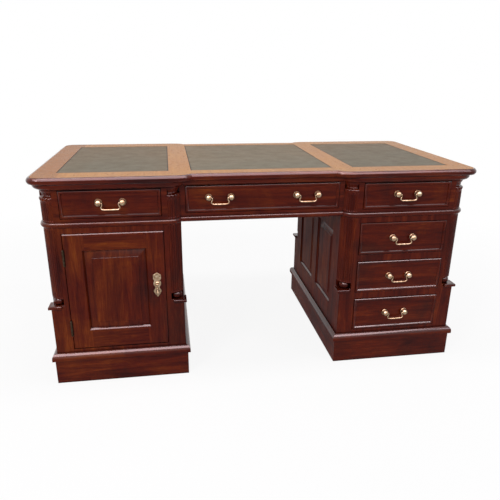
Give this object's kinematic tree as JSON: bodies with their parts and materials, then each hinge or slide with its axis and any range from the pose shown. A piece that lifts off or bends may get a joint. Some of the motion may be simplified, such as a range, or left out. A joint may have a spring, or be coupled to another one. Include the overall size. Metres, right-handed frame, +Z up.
{
  "type": "partners desk",
  "caption": "Breakfront partners desk with leather top, fluted quarter columns, and drawers and a cupboard on each face",
  "frame": {"origin": "on the floor, under the middle of the desk", "axes": "+X along the length, to the right of the sitter at the front; +Y towards the second sitter's face; +Z up"},
  "size_m": [1.599, 0.775, 0.78],
  "materials": {
    "mahogany": "french polished, glossy",
    "crossbanding": "polished, glossy",
    "leather": "waxed, semi-matt",
    "brass": "aged, satin"
  },
  "bodies": {
    "case": {"top_board": "mahogany", "top_edge_moulding": "mahogany", "top_crossbanding": "crossbanding", "top_leathers": "leather", "top_under_moulding": "mahogany", "frieze_case": "mahogany", "waist_moulding": "mahogany", "right_pedestal_case": "mahogany", "left_pedestal_case": "mahogany", "pedestal_side_panels": "mahogany", "base_mouldings": "mahogany", "plinths": "mahogany", "fluted_pilasters": "mahogany", "pilaster_carvings": "mahogany", "drawer_runners": "mahogany", "door_hinge_leaves": "brass"},
    "front_left_frieze_drawer": {"front_left_frieze_drawer": "mahogany", "front_left_frieze_drawer_rosettes": "brass"},
    "front_left_frieze_drawer_bail": {"front_left_frieze_drawer_bail": "brass"},
    "front_centre_frieze_drawer": {"front_centre_frieze_drawer": "mahogany", "front_centre_frieze_drawer_rosettes": "brass"},
    "front_centre_frieze_drawer_bail_left": {"front_centre_frieze_drawer_bail_left": "brass"},
    "front_centre_frieze_drawer_bail_right": {"front_centre_frieze_drawer_bail_right": "brass"},
    "front_right_frieze_drawer": {"front_right_frieze_drawer": "mahogany", "front_right_frieze_drawer_rosettes": "brass"},
    "front_right_frieze_drawer_bail": {"front_right_frieze_drawer_bail": "brass"},
    "front_top_pedestal_drawer": {"front_top_pedestal_drawer": "mahogany", "front_top_pedestal_drawer_rosettes": "brass"},
    "front_top_pedestal_drawer_bail": {"front_top_pedestal_drawer_bail": "brass"},
    "front_middle_pedestal_drawer": {"front_middle_pedestal_drawer": "mahogany", "front_middle_pedestal_drawer_rosettes": "brass"},
    "front_middle_pedestal_drawer_bail": {"front_middle_pedestal_drawer_bail": "brass"},
    "front_bottom_pedestal_drawer": {"front_bottom_pedestal_drawer": "mahogany", "front_bottom_pedestal_drawer_rosettes": "brass"},
    "front_bottom_pedestal_drawer_bail": {"front_bottom_pedestal_drawer_bail": "brass"},
    "front_door": {"front_door": "mahogany", "front_door_brass": "brass"},
    "front_door_drop": {"front_door_drop": "brass"},
    "back_left_frieze_drawer": {"back_left_frieze_drawer": "mahogany", "back_left_frieze_drawer_rosettes": "brass"},
    "back_left_frieze_drawer_bail": {"back_left_frieze_drawer_bail": "brass"},
    "back_centre_frieze_drawer": {"back_centre_frieze_drawer": "mahogany", "back_centre_frieze_drawer_rosettes": "brass"},
    "back_centre_frieze_drawer_bail_left": {"back_centre_frieze_drawer_bail_left": "brass"},
    "back_centre_frieze_drawer_bail_right": {"back_centre_frieze_drawer_bail_right": "brass"},
    "back_right_frieze_drawer": {"back_right_frieze_drawer": "mahogany", "back_right_frieze_drawer_rosettes": "brass"},
    "back_right_frieze_drawer_bail": {"back_right_frieze_drawer_bail": "brass"},
    "back_top_pedestal_drawer": {"back_top_pedestal_drawer": "mahogany", "back_top_pedestal_drawer_rosettes": "brass"},
    "back_top_pedestal_drawer_bail": {"back_top_pedestal_drawer_bail": "brass"},
    "back_middle_pedestal_drawer": {"back_middle_pedestal_drawer": "mahogany", "back_middle_pedestal_drawer_rosettes": "brass"},
    "back_middle_pedestal_drawer_bail": {"back_middle_pedestal_drawer_bail": "brass"},
    "back_bottom_pedestal_drawer": {"back_bottom_pedestal_drawer": "mahogany", "back_bottom_pedestal_drawer_rosettes": "brass"},
    "back_bottom_pedestal_drawer_bail": {"back_bottom_pedestal_drawer_bail": "brass"},
    "back_door": {"back_door": "mahogany", "back_door_brass": "brass"},
    "back_door_drop": {"back_door_drop": "brass"}
  },
  "joints": [
    {"name": "front_left_frieze_drawer_slide", "type": "slide", "parent": "case", "child": "front_left_frieze_drawer", "axis": [0, -1, 0], "range_m": [0, 0.27]},
    {"name": "front_left_frieze_drawer_bail_swing", "type": "hinge", "parent": "front_left_frieze_drawer", "child": "front_left_frieze_drawer_bail", "pos_m": [-0.535, -0.373, 0.6895], "axis": [-1, 0, 0], "range_deg": [-25, 100]},
    {"name": "front_centre_frieze_drawer_slide", "type": "slide", "parent": "case", "child": "front_centre_frieze_drawer", "axis": [0, -1, 0], "range_m": [0, 0.24]},
    {"name": "front_centre_frieze_drawer_bail_left_swing", "type": "hinge", "parent": "front_centre_frieze_drawer", "child": "front_centre_frieze_drawer_bail_left", "pos_m": [-0.16, -0.343, 0.6895], "axis": [-1, 0, 0], "range_deg": [-25, 100]},
    {"name": "front_centre_frieze_drawer_bail_right_swing", "type": "hinge", "parent": "front_centre_frieze_drawer", "child": "front_centre_frieze_drawer_bail_right", "pos_m": [0.16, -0.343, 0.6895], "axis": [-1, 0, 0], "range_deg": [-25, 100]},
    {"name": "front_right_frieze_drawer_slide", "type": "slide", "parent": "case", "child": "front_right_frieze_drawer", "axis": [0, -1, 0], "range_m": [0, 0.27]},
    {"name": "front_right_frieze_drawer_bail_swing", "type": "hinge", "parent": "front_right_frieze_drawer", "child": "front_right_frieze_drawer_bail", "pos_m": [0.535, -0.373, 0.6895], "axis": [-1, 0, 0], "range_deg": [-25, 100]},
    {"name": "front_top_pedestal_drawer_slide", "type": "slide", "parent": "case", "child": "front_top_pedestal_drawer", "axis": [0, -1, 0], "range_m": [0, 0.27]},
    {"name": "front_top_pedestal_drawer_bail_swing", "type": "hinge", "parent": "front_top_pedestal_drawer", "child": "front_top_pedestal_drawer_bail", "pos_m": [0.535, -0.373, 0.51925], "axis": [-1, 0, 0], "range_deg": [-25, 100]},
    {"name": "front_middle_pedestal_drawer_slide", "type": "slide", "parent": "case", "child": "front_middle_pedestal_drawer", "axis": [0, -1, 0], "range_m": [0, 0.27]},
    {"name": "front_middle_pedestal_drawer_bail_swing", "type": "hinge", "parent": "front_middle_pedestal_drawer", "child": "front_middle_pedestal_drawer_bail", "pos_m": [0.535, -0.373, 0.364], "axis": [-1, 0, 0], "range_deg": [-25, 100]},
    {"name": "front_bottom_pedestal_drawer_slide", "type": "slide", "parent": "case", "child": "front_bottom_pedestal_drawer", "axis": [0, -1, 0], "range_m": [0, 0.27]},
    {"name": "front_bottom_pedestal_drawer_bail_swing", "type": "hinge", "parent": "front_bottom_pedestal_drawer", "child": "front_bottom_pedestal_drawer_bail", "pos_m": [0.535, -0.373, 0.20475], "axis": [-1, 0, 0], "range_deg": [-25, 100]},
    {"name": "front_door_hinge", "type": "hinge", "parent": "case", "child": "front_door", "pos_m": [-0.70775, -0.3645, 0.36], "axis": [0, 0, -1], "range_deg": [0, 100]},
    {"name": "front_door_drop_swing", "type": "hinge", "parent": "front_door", "child": "front_door_drop", "pos_m": [-0.394, -0.37, 0.382], "axis": [-1, 0, 0], "range_deg": [0, 80]},
    {"name": "back_left_frieze_drawer_slide", "type": "slide", "parent": "case", "child": "back_left_frieze_drawer", "axis": [0, 1, 0], "range_m": [0, 0.27]},
    {"name": "back_left_frieze_drawer_bail_swing", "type": "hinge", "parent": "back_left_frieze_drawer", "child": "back_left_frieze_drawer_bail", "pos_m": [0.535, 0.373, 0.6895], "axis": [1, 0, 0], "range_deg": [-25, 100]},
    {"name": "back_centre_frieze_drawer_slide", "type": "slide", "parent": "case", "child": "back_centre_frieze_drawer", "axis": [0, 1, 0], "range_m": [0, 0.24]},
    {"name": "back_centre_frieze_drawer_bail_left_swing", "type": "hinge", "parent": "back_centre_frieze_drawer", "child": "back_centre_frieze_drawer_bail_left", "pos_m": [0.16, 0.343, 0.6895], "axis": [1, 0, 0], "range_deg": [-25, 100]},
    {"name": "back_centre_frieze_drawer_bail_right_swing", "type": "hinge", "parent": "back_centre_frieze_drawer", "child": "back_centre_frieze_drawer_bail_right", "pos_m": [-0.16, 0.343, 0.6895], "axis": [1, 0, 0], "range_deg": [-25, 100]},
    {"name": "back_right_frieze_drawer_slide", "type": "slide", "parent": "case", "child": "back_right_frieze_drawer", "axis": [0, 1, 0], "range_m": [0, 0.27]},
    {"name": "back_right_frieze_drawer_bail_swing", "type": "hinge", "parent": "back_right_frieze_drawer", "child": "back_right_frieze_drawer_bail", "pos_m": [-0.535, 0.373, 0.6895], "axis": [1, 0, 0], "range_deg": [-25, 100]},
    {"name": "back_top_pedestal_drawer_slide", "type": "slide", "parent": "case", "child": "back_top_pedestal_drawer", "axis": [0, 1, 0], "range_m": [0, 0.27]},
    {"name": "back_top_pedestal_drawer_bail_swing", "type": "hinge", "parent": "back_top_pedestal_drawer", "child": "back_top_pedestal_drawer_bail", "pos_m": [-0.535, 0.373, 0.51925], "axis": [1, 0, 0], "range_deg": [-25, 100]},
    {"name": "back_middle_pedestal_drawer_slide", "type": "slide", "parent": "case", "child": "back_middle_pedestal_drawer", "axis": [0, 1, 0], "range_m": [0, 0.27]},
    {"name": "back_middle_pedestal_drawer_bail_swing", "type": "hinge", "parent": "back_middle_pedestal_drawer", "child": "back_middle_pedestal_drawer_bail", "pos_m": [-0.535, 0.373, 0.364], "axis": [1, 0, 0], "range_deg": [-25, 100]},
    {"name": "back_bottom_pedestal_drawer_slide", "type": "slide", "parent": "case", "child": "back_bottom_pedestal_drawer", "axis": [0, 1, 0], "range_m": [0, 0.27]},
    {"name": "back_bottom_pedestal_drawer_bail_swing", "type": "hinge", "parent": "back_bottom_pedestal_drawer", "child": "back_bottom_pedestal_drawer_bail", "pos_m": [-0.535, 0.373, 0.20475], "axis": [1, 0, 0], "range_deg": [-25, 100]},
    {"name": "back_door_hinge", "type": "hinge", "parent": "case", "child": "back_door", "pos_m": [0.70775, 0.3645, 0.36], "axis": [0, 0, -1], "range_deg": [0, 100]},
    {"name": "back_door_drop_swing", "type": "hinge", "parent": "back_door", "child": "back_door_drop", "pos_m": [0.394, 0.37, 0.382], "axis": [1, 0, 0], "range_deg": [0, 80]}
  ]
}
